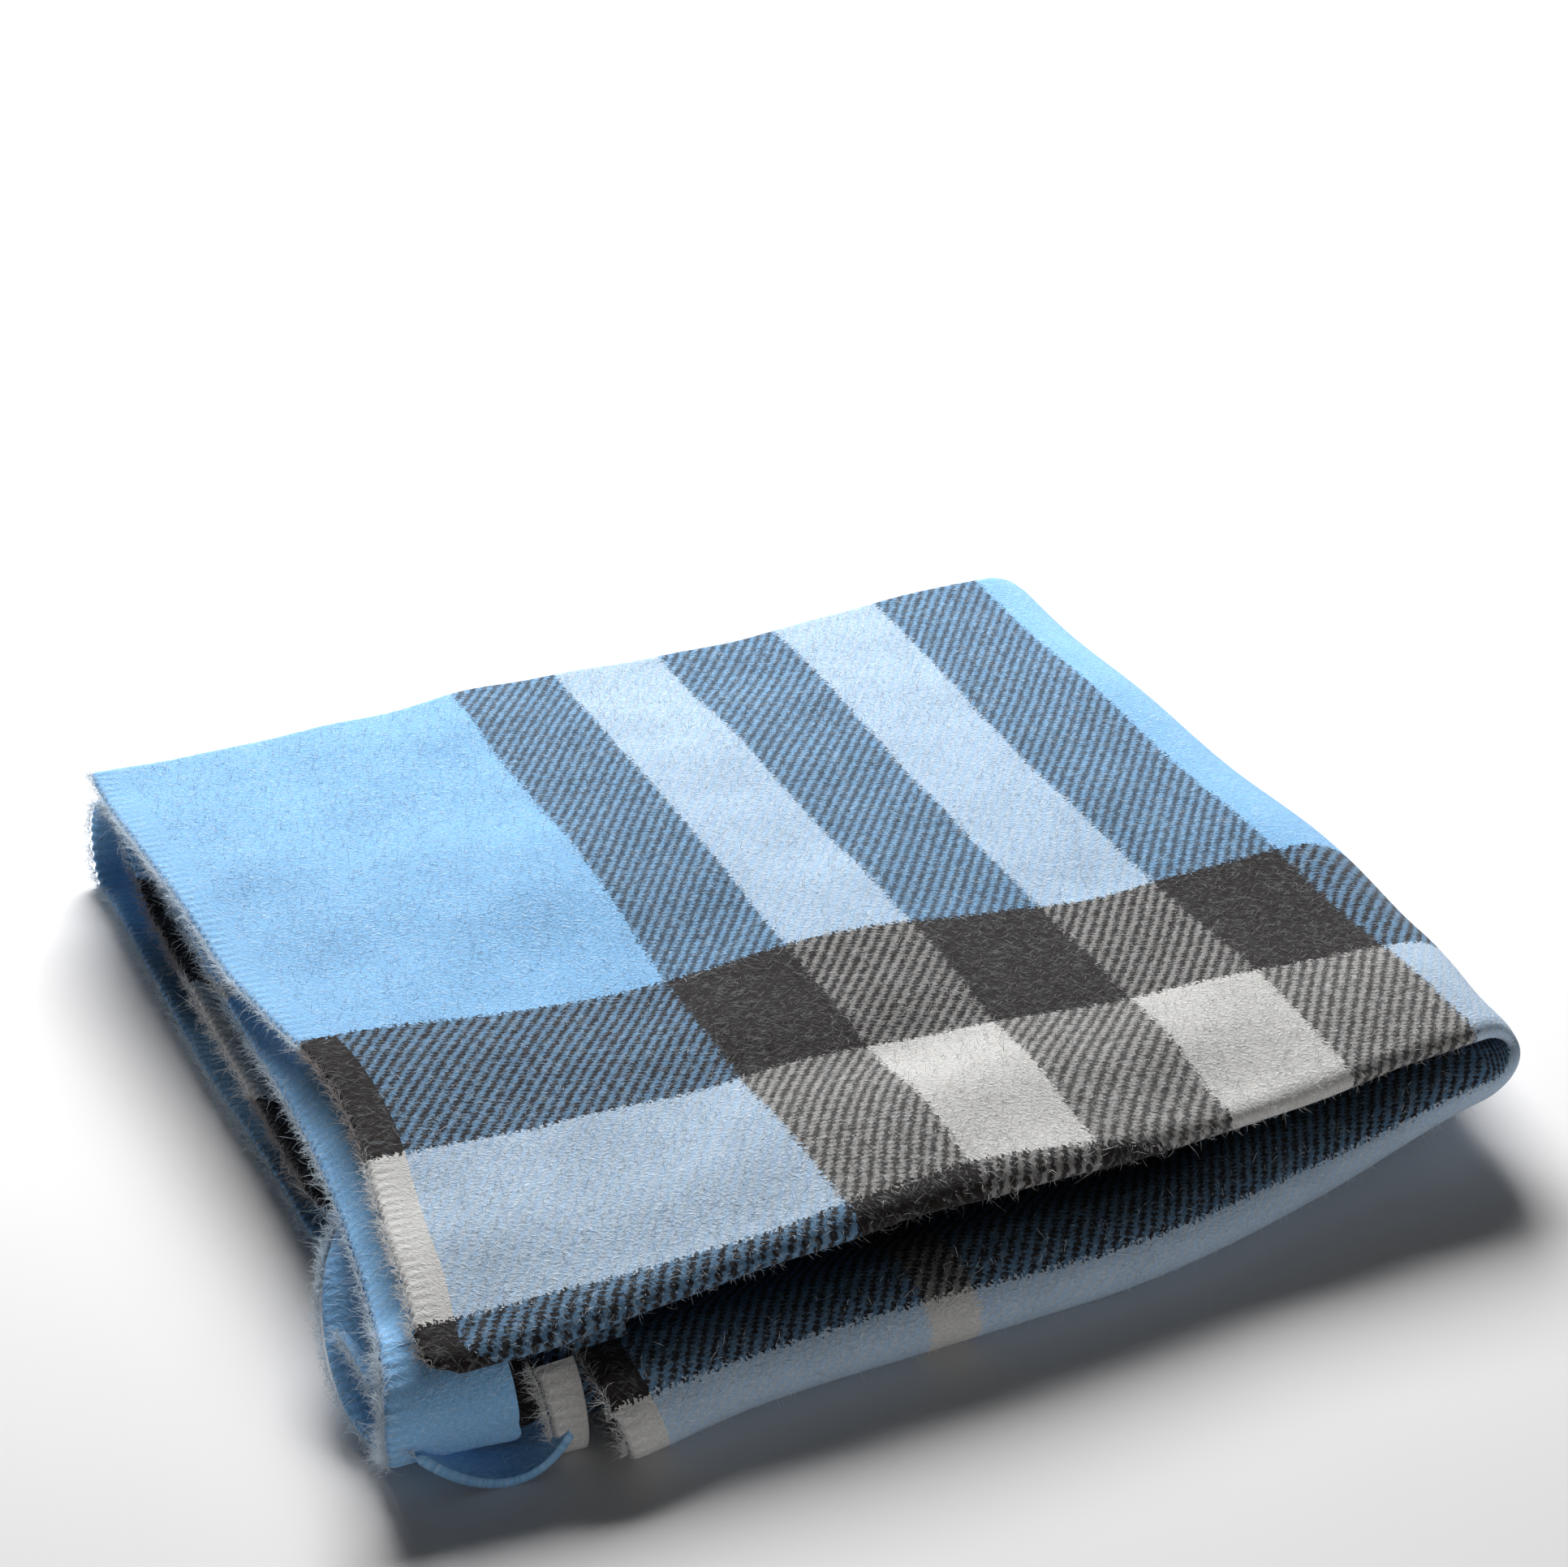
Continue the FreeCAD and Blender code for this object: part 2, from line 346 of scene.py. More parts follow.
# ---- node materials -----------------------------------------------------------------
class Nodes:
    """Short names for building a node tree."""

    def __init__(self, name):
        self.material = bpy.data.materials.new(name)
        self.material.use_nodes = True
        self.tree = self.material.node_tree
        self.tree.nodes.clear()

    def add(self, kind, **settings):
        node = self.tree.nodes.new(kind)
        for key, value in settings.items():
            setattr(node, key, value)
        return node

    def plug(self, value, socket):
        if isinstance(value, bpy.types.NodeSocket):
            self.tree.links.new(value, socket)
        elif value is not None:
            socket.default_value = value

    def maths(self, operation, a, b=None, c=None, clamp=False):
        node = self.add("ShaderNodeMath", operation=operation, use_clamp=clamp)
        for value, socket in zip((a, b, c), node.inputs):
            self.plug(value, socket)
        return node.outputs[0]

    def ramp(self, fac, marks, constant=False):
        node = self.add("ShaderNodeValToRGB")
        node.color_ramp.interpolation = "CONSTANT" if constant else "EASE"
        elements = node.color_ramp.elements
        while len(elements) < len(marks):
            elements.new(0.5)
        for element, (place, colour) in zip(elements, marks):
            element.position = place
            element.color = (*colour, 1.0)
        self.plug(fac, node.inputs[0])
        return node.outputs[0]

    def mix(self, fac, a, b, blend="MIX"):
        node = self.add("ShaderNodeMix", data_type="RGBA", blend_type=blend)
        self.plug(fac, node.inputs[0])
        self.plug(a, node.inputs[6])
        self.plug(b, node.inputs[7])
        return node.outputs[2]

    def grey(self, colour):
        node = self.add("ShaderNodeRGBToBW")
        self.plug(colour, node.inputs[0])
        return node.outputs[0]

    def noise(self, place, scale, detail=2.0, roughness=0.5):
        node = self.add("ShaderNodeTexNoise", noise_dimensions="3D")
        self.plug(place, node.inputs["Vector"])
        node.inputs["Scale"].default_value = scale
        node.inputs["Detail"].default_value = detail
        node.inputs["Roughness"].default_value = roughness
        return node.outputs[0]

    def vector(self, x, y, z=0.0):
        node = self.add("ShaderNodeCombineXYZ")
        for value, socket in zip((x, y, z), node.inputs):
            self.plug(value, socket)
        return node.outputs[0]

    def darkened(self, colour, level):
        """A colour multiplied by a grey level."""
        return self.mix(1.0, colour, self.vector(level, level, level), "MULTIPLY")

    def finish(self, colour, values, normal=None):
        """Ends the tree in one shader. values are its sockets that are the same all over."""
        shader = self.add("ShaderNodeBsdfPrincipled")
        self.plug(colour, shader.inputs["Base Color"])
        self.plug(normal, shader.inputs["Normal"])
        for socket, value in values.items():
            shader.inputs[socket].default_value = value
        output = self.add("ShaderNodeOutputMaterial")
        self.plug(shader.outputs[0], output.inputs["Surface"])
        return self.material


BLUE = (0.255, 0.520, 0.840)
DARK = (0.019, 0.014, 0.013)
LIGHT = (0.620, 0.610, 0.590)
YARNS = {"blue": BLUE, "dark": DARK, "light": LIGHT}

# Warp bands, by where each begins: distances from the upper edge of the side fold, positive
# round it and into the lower half, negative into the upper half
BAND = 0.0402                  # the width of a warp band
LAST_BAND = -0.007             # where the last band of the upper half ends
WARP_END = 0.420
WARP_BANDS = [(-0.350, BLUE)]
for band in range(5):
    WARP_BANDS.append((LAST_BAND - (5 - band) * BAND, (DARK, LIGHT)[band % 2]))
WARP_BANDS += [(LAST_BAND, BLUE), (SIDE_ARC + 0.175, LIGHT), (SIDE_ARC + 0.189, BLUE)]

# Weft bands, by where each begins: distances back from the front fold
LIGHT_WEFT = 0.004
WEFT_END = 0.800
WEFT_BANDS = [(-0.400, BLUE), (-0.052, DARK), (LIGHT_WEFT, LIGHT), (0.073, DARK), (0.130, BLUE),
              (0.430, LIGHT), (0.442, BLUE)]


def band_colours(n, place, bands, end):
    """The yarn colour at each place across a list of bands."""
    start = bands[0][0]
    share = n.maths("DIVIDE", n.maths("SUBTRACT", place, start), end - start)
    marks = [((at - start) / (end - start), colour) for at, colour in bands]
    return n.ramp(share, marks, constant=True)


YARN_BLUR = 0.0085             # how far the nap drags one band's fibres over the next
WARP_SHAKE = 0.0010            # how far single yarns stray from their own line
WEFT_SHAKE = 0.0008
WALE_EDGE = 0.29               # the wale value at which the twill turns from weft to warp
WALE_CONTRAST = 3.6
TWILL_DEPTH = 0.52             # how strongly the twill shows in the colour
WARP_SHARE = 0.40              # how much of the warp shows, on average
DARK_FELT_AND_GROOVE_SHADE = 0.44               # how much more the darker yarn shows: partly its felted fibres, partly painted shade in the twill grooves
HAIR_PALE = (0.80, 0.88, 0.94, 1.0)
HAIR_LAYERS = ((-0.35, 3.0, 1500.0), (-0.95, 5.0, 1300.0), (0.55, 9.0, 1400.0))
# how far from the selvedge the painted light and shade of the ribs reaches
PAINTED_RIB_SHADE_REACH = 0.009


def twill_of(n, across, along, mottle, speckle):
    """Two-and-two twill, from 0 where the weft shows to 1 where the warp shows. The wale climbs
    one end for each pick, and each float is a short grain."""
    ends = n.maths("DIVIDE", across, END_PITCH)
    pick_place = n.maths("DIVIDE", along, PICK_PITCH)
    picks = n.maths("FLOOR", pick_place)
    in_pick = n.maths("ABSOLUTE", n.maths("SUBTRACT", n.maths("FRACT", pick_place), 0.5))
    phase = n.maths("FRACT", n.maths("DIVIDE", n.maths("SUBTRACT", ends, picks), 4.0))
    wale = n.maths("ABSOLUTE", n.maths("SUBTRACT", phase, 0.5))
    grain = n.maths("MULTIPLY_ADD", in_pick, 0.22, wale)
    speckled = n.maths("MULTIPLY_ADD", speckle, 0.75, grain)
    broken = n.maths("MULTIPLY_ADD", mottle, 0.85, speckled)
    past_edge = n.maths("SUBTRACT", broken, WALE_EDGE)
    return n.maths("MULTIPLY_ADD", past_edge, WALE_CONTRAST, 0.5, clamp=True)


def woven(n, warp, weft, twill, in_cloth):
    """The two yarns crossed. The darker yarn always shows a little more, partly because its fibres
    are felted over the paler and partly as painted shade in the grooves of the twill, and two pale
    yarns are felted until the twill hardly shows."""
    felt_and_groove_shade = n.maths("MULTIPLY", n.maths("SUBTRACT", n.grey(weft), n.grey(warp)), DARK_FELT_AND_GROOVE_SHADE)
    average = n.maths("ADD", felt_and_groove_shade, WARP_SHARE)
    mixed = n.maths("MULTIPLY_ADD", n.maths("SUBTRACT", twill, 0.5), TWILL_DEPTH, average)
    crossed = n.mix(n.maths("MULTIPLY", mixed, in_cloth), weft, warp)
    darker = n.maths("MINIMUM", n.grey(warp), n.grey(weft))
    felted = n.maths("MULTIPLY", n.maths("MULTIPLY", darker, 2.4, clamp=True), 0.62)
    blended = n.mix(n.maths("MULTIPLY", in_cloth, 0.5), weft, warp)
    return n.mix(felted, crossed, blended)


def fine_hairs(n, across, along, mottle):
    """Fine hairs that lie over the yarns in crossing directions, from 0 to 1."""
    hair = None
    for turn, seed, fine in HAIR_LAYERS:
        c, s = math.cos(turn), math.sin(turn)
        lie = n.maths("ADD", n.maths("MULTIPLY", across, c), n.maths("MULTIPLY", along, s))
        cross = n.maths("SUBTRACT", n.maths("MULTIPLY", along, c), n.maths("MULTIPLY", across, s))
        bend = n.maths("MULTIPLY_ADD", mottle, 0.0022, cross)
        strand = n.noise(n.vector(n.maths("MULTIPLY", lie, 0.16), bend, seed), fine, 1.5)
        sharp = n.maths("MULTIPLY", n.maths("SUBTRACT", strand, 0.57), 7.0, clamp=True)
        hair = sharp if hair is None else n.maths("MAXIMUM", hair, sharp)
    return hair


def cloth_bump(n, twill, in_cloth, hair, deep):
    """The relief of the wales, the hairs and the felted nap."""
    wales = n.maths("MULTIPLY", twill, n.maths("MULTIPLY", in_cloth, 0.35))
    nap = n.maths("ADD", n.maths("MULTIPLY", hair, 0.35), n.maths("MULTIPLY", deep, 0.8))
    bump = n.add("ShaderNodeBump")
    bump.inputs["Strength"].default_value = 0.6
    bump.inputs["Distance"].default_value = 0.0006
    n.plug(n.maths("ADD", wales, nap), bump.inputs["Height"])
    return bump.outputs[0]


def tartan_material():
    n = Nodes("brushed_tartan")
    cloth = n.add("ShaderNodeAttribute", attribute_name="cloth").outputs["Vector"]
    parts = n.add("ShaderNodeSeparateXYZ")
    n.plug(cloth, parts.inputs[0])
    across, along, edge = parts.outputs
    place = n.vector(across, along)
    in_cloth = n.maths("GREATER_THAN", edge, SELVEDGE)
    mottle = n.maths("SUBTRACT", n.noise(place, 360.0, 3.0, 0.65), 0.5)
    speckle = n.maths("SUBTRACT", n.noise(place, 1100.0, 2.0, 0.6), 0.5)
    clouds = n.noise(place, 60.0, 3.0, 0.6)
    deep = n.noise(place, 900.0, 3.0, 0.65)

    # The nap blurs every colour change: the yarns are read from a slightly shaken place
    slanted = n.vector(n.maths("MULTIPLY_ADD", along, 0.5, across), along)
    shake_across = n.maths("SUBTRACT", n.noise(slanted, 1000.0, 3.0), 0.5)
    shake_along = n.maths("SUBTRACT", n.noise(n.vector(along, across, 7.0), 900.0, 3.0), 0.5)
    warp = band_colours(n, n.maths("MULTIPLY_ADD", shake_across, YARN_BLUR, across),
                        WARP_BANDS, WARP_END)
    weft = band_colours(n, n.maths("MULTIPLY_ADD", shake_along, YARN_BLUR, along),
                        WEFT_BANDS, WEFT_END)
    twill = twill_of(n, n.maths("MULTIPLY_ADD", shake_across, WARP_SHAKE, across),
                     n.maths("MULTIPLY_ADD", shake_along, WEFT_SHAKE, along), mottle, speckle)
    yarn = woven(n, warp, weft, twill, in_cloth)

    # Raised fibres: pale hairs, thicker in some places than in others
    hair = fine_hairs(n, across, along, mottle)
    patchy = n.maths("MULTIPLY", hair, n.maths("ADD", clouds, 0.25))
    paleness = n.maths("MULTIPLY_ADD", n.grey(yarn), 0.34, 0.15)
    pale = n.mix(paleness, yarn, HAIR_PALE)
    misted = n.mix(n.maths("MULTIPLY", patchy, 0.95, clamp=True), yarn, pale)
    unevenness = n.maths("ADD", n.maths("MULTIPLY", deep, 0.74), n.maths("MULTIPLY", clouds, 0.22))
    shaded = n.darkened(misted, n.maths("ADD", 0.52, unevenness))

    # The selvedge is ribbed, because the picks turn back there in small bundles. The ribs are also
    # painted into the colour as alternate painted light and painted shade, which fade out away
    # from the edge
    rib = n.maths("SINE", n.maths("MULTIPLY", along, 2 * math.pi / RIB_PITCH))
    edge_share = n.maths("DIVIDE", edge, PAINTED_RIB_SHADE_REACH)
    near_edge = n.maths("SUBTRACT", 1.0, edge_share, clamp=True)
    painted_rib_shade = n.maths("MULTIPLY_ADD", n.maths("MULTIPLY", rib, near_edge), 0.12, 1.0)
    colour = n.darkened(shaded, painted_rib_shade)
    values = {"Roughness": 0.95, "Specular IOR Level": 0.1, "Sheen Weight": 0.16,
              "Sheen Roughness": 0.5, "Sheen Tint": (0.9, 0.95, 1.0, 1.0)}
    return n.finish(colour, values, cloth_bump(n, twill, in_cloth, hair, deep))


# ---- one half of the throw ----------------------------------------------------------
def left_edges(prefix, y):
    """Where the selvedge of each leaf lies, at every y."""
    if prefix == "top":
        bay = 0.011 * np.exp(-((y + 0.048) / 0.058) ** 2)
        front_corner = 0.004 * smooth((-0.120 - y) / 0.04)
        back_corner = 0.005 * smooth((y - 0.05) / 0.10)
        outer = LEFT + 0.016 + bay - front_corner - back_corner
        tucked = LEFT + 0.017 - 0.016 * np.clip((-0.03 - y) / 0.13, 0, 1) ** 2
        flap = outer + 0.013
    else:
        drawn_in = smooth((-0.045 - y) / 0.10)
        outer = LEFT + 0.009 + 0.048 * drawn_in + 0.004 * smooth((0.06 - y) / 0.10)
        tucked = LEFT + 0.013 + 0.036 * smooth((-0.05 - y) / 0.08)
        flap = LEFT + 0.027 + 0.028 * drawn_in
    return {"flap": flap, "front": outer, "outer": outer, "back": outer, "tucked": tucked}


RIPPLE_LENGTH = 0.045
RIPPLES = {"top": (21, 0.00040), "bottom": (22, 0.0001)}   # random seed and height
CALM_REACH = 0.03          # the ripples die away towards the side fold over this length


def half_surface(prefix, line, x):
    """Mid-ply points at every row of line and every x (rows by columns)."""
    y = np.broadcast_to(line[:, :1], x.shape)
    z = np.broadcast_to(line[:, 1:], x.shape)
    points = np.stack([x, y, z], -1)
    tangent = np.gradient(line, axis=0)
    tangent /= np.maximum(np.linalg.norm(tangent, axis=1), 1e-9)[:, None]
    run = np.broadcast_to(lengths(line)[:, None], x.shape)
    seed, height = RIPPLES[prefix]
    ripple = waves(x, run, seed, RIPPLE_LENGTH, height) * smooth((HINGE_X - x) / CALM_REACH)
    points[..., 1] -= tangent[:, 1:] * UP[prefix] * ripple
    points[..., 2] += tangent[:, :1] * UP[prefix] * ripple
    if prefix == "bottom":
        middle = smooth((x + 0.125) / 0.06) * smooth((HINGE_X - x) / 0.05)
        points[..., 2] *= 1 - 0.20 * middle * smooth((-0.090 - y) / 0.05)
    return points


EDGE_LIFTS = {"top": {"tucked": -0.0050}, "bottom": {"tucked": 0.0060, "outer": 0.0030}}
CURL_REACH = 0.013


def edge_curl(prefix, shares, x, edge):
    """How far each ply's selvedge droops or lifts off its leaf. shares tells the leaves apart."""
    near = smooth(1 - (x - edge) / CURL_REACH)
    total = np.zeros(x.shape)
    for leaf, lift in EDGE_LIFTS[prefix].items():
        total = total + lift * near * shares[leaf][:, None]
    return total


FADE_ROWS = 8


def leaf_shares(count, times):
    """How much each row belongs to each section, fading over a few rows at both its ends."""
    shares = {}
    index = np.arange(count) / times
    for name, (first, last) in STOPS.items():
        shares[name] = smooth(np.minimum(index - first, last - index) / FADE_ROWS)
    return shares


LOWER_START = 0.038        # where the front fold of the lower half lies among the weft bands
TUCKED_LIGHT_Y = 0.067     # where the light band begins again on its tucked leaf


def weave_rows(prefix, line):
    """Each row's place along the warp, counted back from the front fold."""
    run = lengths(line)
    rows = run - run[STOPS["outer"][0]]
    if prefix == "top":
        return rows
    rows = rows + LOWER_START
    first = STOPS["tucked"][0]
    tucked = rows[first:]
    light_row = np.argmin(np.abs(line[first:, 0] - TUCKED_LIGHT_Y))
    rows[first:] = LIGHT_WEFT + tucked - tucked[light_row]
    return rows


SKEW_START = 0.012         # the weft runs true at this distance from the left
STRIPE_BOW = ((0.000, 0.040), (0.070, 0.045), 0.0120)   # the upper front stripe bows forward


def skewed(x):
    return SKEW * (x - LEFT - SKEW_START)


def weave_of(prefix, rows, x, edge):
    """The place in the weave (across the warp, along the warp, from the selvedge) at each x."""
    reach = x - HINGE_X
    if prefix == "top":
        across = reach
        along = rows + skewed(x)
        along = along - hill(x, along, *STRIPE_BOW)
    else:
        across = SIDE_ARC - reach
        along = np.broadcast_to(rows, x.shape)
    free = smooth((HINGE_X - x) / 0.06)
    across = across + free * waves(x, along, 31, 0.150, 0.0013)
    along = along + free * waves(x, along, 32, 0.170, 0.0012)
    return np.stack([across, along, x - edge], -1)


def refine(values, times):
    """The same values with times as many steps between them."""
    index = np.arange(0, len(values) - 1 + 1e-9, 1 / times)
    base = np.arange(len(values))
    if values.ndim == 1:
        return np.interp(index, base, values)
    return np.stack([np.interp(index, base, values[:, k]) for k in range(values.shape[1])], 1)


MAIN_COLUMNS = 116
STRIP_COLUMNS = 16
STRIP_ROW_TIMES = 4        # the selvedge has this many rows for each row of the main cloth
RIB_SHIFT = 0.0003         # how far each rib stands out sideways
RIB_SWELL = 0.07           # and how much thicker it is


class Half:
    """One half of the throw: the line of its plies, its weave and its left-hand edge. The drops
    are how far the ends of the flap leaf and the tucked leaf hang below a straight leaf."""

    def __init__(self, prefix, body, flap_drop, tucked_drop):
        self.prefix = prefix
        self.body = body
        self.line = half_line(prefix, flap_drop, tucked_drop)
        self.rows = weave_rows(prefix, self.line)
        self.edges = by_section(left_edges(prefix, self.line[:, 0]))
        self.outward = np.zeros(len(self.line))
        first, last = STOPS["outer"]
        self.outward[first:last] = UP[prefix]

    def grid(self, t, from_edge, to_edge, times=1):
        """Points and weave between two lines: from_edge and to_edge are distances from the
        selvedge, or None for the side fold."""
        line, rows = refine(self.line, times), refine(self.rows, times)
        edges = refine(self.edges, times)[:, None]
        start = edges + from_edge
        end = np.full_like(edges, HINGE_X) if to_edge is None else edges + to_edge
        x = start * (1 - t) + end * t
        points = half_surface(self.prefix, line, x)
        shares = leaf_shares(len(line), times)
        points[..., 2] += edge_curl(self.prefix, shares, x, edges)
        weave = weave_of(self.prefix, rows[:, None], x, edges)
        outward = np.zeros_like(points)
        outward[..., 2] = refine(self.outward, times)[:, None]
        return settle(points), weave, outward

    def main_cloth(self, material):
        t = np.linspace(0, 1, MAIN_COLUMNS)[None, :]
        points, weave, outward = self.grid(t, SELVEDGE, None)
        thickness = np.full(points.shape[:2], PLY)
        piece = thick_sheet(self.prefix + "_cloth", points, weave, thickness, outward, material)
        crease(piece, side_columns(points))
        ride(piece, self.body)
        return piece, points, weave

    def selvedge(self, material):
        t = np.linspace(0, 1, STRIP_COLUMNS)[None, :] ** 1.4
        points, weave, outward = self.grid(t, 0.0, SELVEDGE, STRIP_ROW_TIMES)
        ribs = rib_of(weave)
        points[..., 0] += RIB_SHIFT * ribs
        thickness = PLY * (1 + RIB_SWELL * ribs) * edge_round(weave[..., 2])
        name = self.prefix + "_selvedge_strip"
        piece = thick_sheet(name, points, weave, thickness, outward, material)
        crease(piece, side_columns(points, first=False))
        ride(piece, self.body)
        return piece, points, weave


def rib_of(weave):
    """The ribs of the selvedge, from -1 to 1, fading out towards the main cloth."""
    return np.sin(2 * math.pi * weave[..., 1] / RIB_PITCH) * smooth(1 - weave[..., 2] / SELVEDGE)


def ride(piece, body):
    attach(piece, body)


# ---- the side fold ------------------------------------------------------------------
SIDE_COLUMNS = 60
PINCHED_REACH = 0.0165     # how far the front and back folds stand out past the hinge
PINCH_FADE = 0.05          # the length of each inner leaf that is drawn out with them


def side_reach(own, run, y):
    """How far each row swings out past the hinge. own is half the height between its two ends
    and run its place along the cloth. The rows of the front and back folds are pinched together,
    the side bulges in its middle, and it is flatter at the front."""
    first_front, last_front = STOPS["front"]
    first_back, last_back = STOPS["back"]
    outer_reach = own[last_front]
    reach = own.copy()
    t = smooth(np.linspace(0, 1, last_front - first_front + 1))
    reach[first_front:last_front + 1] = PINCHED_REACH + (outer_reach - PINCHED_REACH) * t
    t = smooth(np.linspace(0, 1, last_back - first_back + 1))
    reach[first_back:last_back + 1] = outer_reach + (PINCHED_REACH - outer_reach) * t
    flap = smooth(1 - (run[first_front] - run[:first_front]) / PINCH_FADE)
    reach[:first_front] = own[:first_front] * (1 - flap) + PINCHED_REACH * flap
    tucked = smooth(1 - (run[last_back:] - run[last_back]) / PINCH_FADE)
    reach[last_back:] = own[last_back:] * (1 - tucked) + PINCHED_REACH * tucked
    bulge = hill(0, y, (0, -0.045), (1, 0.075), 0.0060) - 0.0005
    return reach + (bulge - 0.0065 * smooth((-0.095 - y) / 0.05))


def side_fold(upper, lower, material):
    """The plies round the side fold: each row leaves the upper half, swings out past the
    hinge and comes back into the lower half."""
    theta = np.linspace(0, math.pi, SIDE_COLUMNS)[None, :]
    hinge = np.full(len(upper.line), HINGE_X)
    start = np.column_stack([hinge, upper.line])
    end = np.column_stack([hinge, lower.line])
    middle, half = (start + end) / 2, (start - end) / 2
    run = (lengths(upper.line) + lengths(lower.line)) / 2
    reach = side_reach(np.abs(half[:, 2]), run, middle[:, 1])
    points = middle[:, None, :] + half[:, None, :] * np.cos(theta)[..., None]
    points[..., 0] += reach[:, None] * np.sin(theta)
    share = np.broadcast_to(theta / math.pi, points.shape[:2])
    along_upper = upper.rows[:, None] + skewed(HINGE_X)
    along = along_upper * (1 - smooth(share)) + lower.rows[:, None] * smooth(share)
    weave = np.stack([SIDE_ARC * share, along, np.full(share.shape, INSIDE)], -1)
    outward = np.zeros_like(points)
    first, last = STOPS["outer"]
    outward[first:last, :, 0] = 1
    points = settle(points)
    thickness = np.full(share.shape, PLY)
    piece = thick_sheet("side_fold_cloth", points, weave, thickness, outward, material)
    crease(piece, side_columns(points))
    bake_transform(piece)
    return piece


# ---- the loose pieces at the front left ----------------------------------------------
def spline(control, count):
    """A smooth line through a few control points (Catmull-Rom)."""
    control = np.array(control, float)
    padded = np.concatenate([[2 * control[0] - control[1]], control,
                             [2 * control[-1] - control[-2]]])
    at = np.linspace(0, len(control) - 1 - 1e-9, count)
    k = at.astype(int)
    t = (at - k)[:, None]
    a, b, c, d = padded[k], padded[k + 1], padded[k + 2], padded[k + 3]
    return 0.5 * (2 * b + (c - a) * t + (2 * a - 5 * b + 4 * c - d) * t ** 2
                  + (3 * b - 3 * c + d - a) * t ** 3)


LOOSE_ROWS = 220
LOOSE_COLUMNS = 60
SAG_FORWARD = 0.35         # how far a sagging middle moves along y, as a share of its sag


def loose_sheet(name, control, right, body, material, along_start, edge_offset=0.0, trough=0.0):
    """A small part of the cloth. Each control point is the (x, y, z) of its left edge, and
    right holds x at the other edge for every control point. along_start is its place among the
    weft bands, edge_offset how far its left edge is from a selvedge, and trough its sag."""
    line = spline(control, LOOSE_ROWS)
    far = spline(np.array(right)[:, None], LOOSE_ROWS)
    t = np.linspace(0, 1, LOOSE_COLUMNS)[None, :] ** 1.3
    x = line[:, :1] * (1 - t) + far * t
    share = (x - line[:, :1]) / (far - line[:, :1])
    sag = 4 * share * (1 - share)
    y = line[:, 1:2] - SAG_FORWARD * trough * sag
    points = settle(np.stack([x, y, line[:, 2:] - trough * sag], -1))
    run = np.broadcast_to(lengths(line[:, 1:])[:, None], x.shape)
    from_left = x - line[:, :1]
    across = x - HINGE_X if body == "upper_half" else SIDE_ARC - (x - HINGE_X)
    weave = np.stack([across, along_start + run, from_left + edge_offset], -1)
    thickness = PLY * (1 + RIB_SWELL * rib_of(weave)) * edge_round(from_left)
    outward = np.zeros_like(points)
    outward[..., 1] = -1
    piece = thick_sheet(name, points, weave, thickness, outward, material)
    ride(piece, body)
    return piece, points, weave


ROLL_POINTS = 9


def roll_points(x_ends, centre, reach, height):
    """A tall narrow half round that bulges forwards, as the left edge of a nested ply."""
    angle = np.radians(np.linspace(95, 268, ROLL_POINTS))
    y = centre[0] + reach * np.cos(angle)
    z = centre[1] + height * np.sin(angle)
    return list(zip(np.linspace(*x_ends, ROLL_POINTS), y, z))


def loose_pieces(material):
    """The rolled corner, the low loop below it and the two rolls beside it."""
    corner = loose_sheet(
        "loose_corner_cloth",
        [(-0.1762, -0.1415, 0.0382), (-0.1775, -0.147, 0.0375), (-0.1795, -0.1535, 0.0340),
         (-0.181, -0.1570, 0.0270), (-0.181, -0.157, 0.0180), (-0.180, -0.154, 0.0090),
         (-0.1805, -0.144, 0.0050), (-0.1835, -0.129, 0.0080), (-0.1820, -0.110, 0.0160),
         (-0.176, -0.092, 0.0235), (-0.166, -0.076, 0.0275)],
        [-0.146, -0.146, -0.146, -0.146, -0.146, -0.148, -0.1725, -0.1750, -0.169, -0.154, -0.142],
        "upper_half", material, along_start=0.50)
    low = loose_sheet(
        "low_loop_cloth",
        [(-0.178, -0.110, 0.0180), (-0.177, -0.127, 0.0170), (-0.176, -0.142, 0.0160),
         (-0.175, -0.152, 0.0155), (-0.174, -0.160, 0.0155)],
        [-0.136, -0.135, -0.133, -0.132, -0.131],
        "lower_half", material, along_start=0.30, edge_offset=INSIDE, trough=0.0135)
    dark = loose_sheet(
        "inner_roll_dark",
        roll_points((-0.1500, -0.1470), (-0.1455, 0.0185), 0.0055, 0.0130),
        [-0.112] * ROLL_POINTS, "lower_half", material, along_start=-0.045)
    light = loose_sheet(
        "inner_roll_light",
        roll_points((-0.1400, -0.1365), (-0.1535, 0.0165), 0.0065, 0.0140),
        [-0.129] * ROLL_POINTS, "lower_half", material, along_start=0.012)
    return corner, low, dark, light


# ---- fibres -------------------------------------------------------------------------
FIBRE_COLOURS = {
    "blue": (0.80, 0.90, 0.98),
    "dark": (0.40, 0.37, 0.36),
    "light": (0.90, 0.90, 0.89),
}
HAIR_STEPS = 5
HAIR_SIDES = 3
HAIR_RADIUS = 0.00006
HAIR_TAPER = (0.6, 1.0, 1.0, 0.7, 0.15)
HAIR_SPREAD = 0.75         # how far the hairs lean away from the surface's own direction
HAIR_FLOOR = 0.0004        # no hair goes below this height
NAP_LENGTH = 0.0024
NAP_CURL = 0.35
NAP_START = PLY / 2 * 0.9  # how far from mid-ply a hair's root lies
NAP_COUNTS = {"top": 8700, "bottom": 3000}   # in each zone
NAP_ZONES = {"front": (0.0, 1 / 3), "middle": (1 / 3, 2 / 3), "back": (2 / 3, 1.0)}
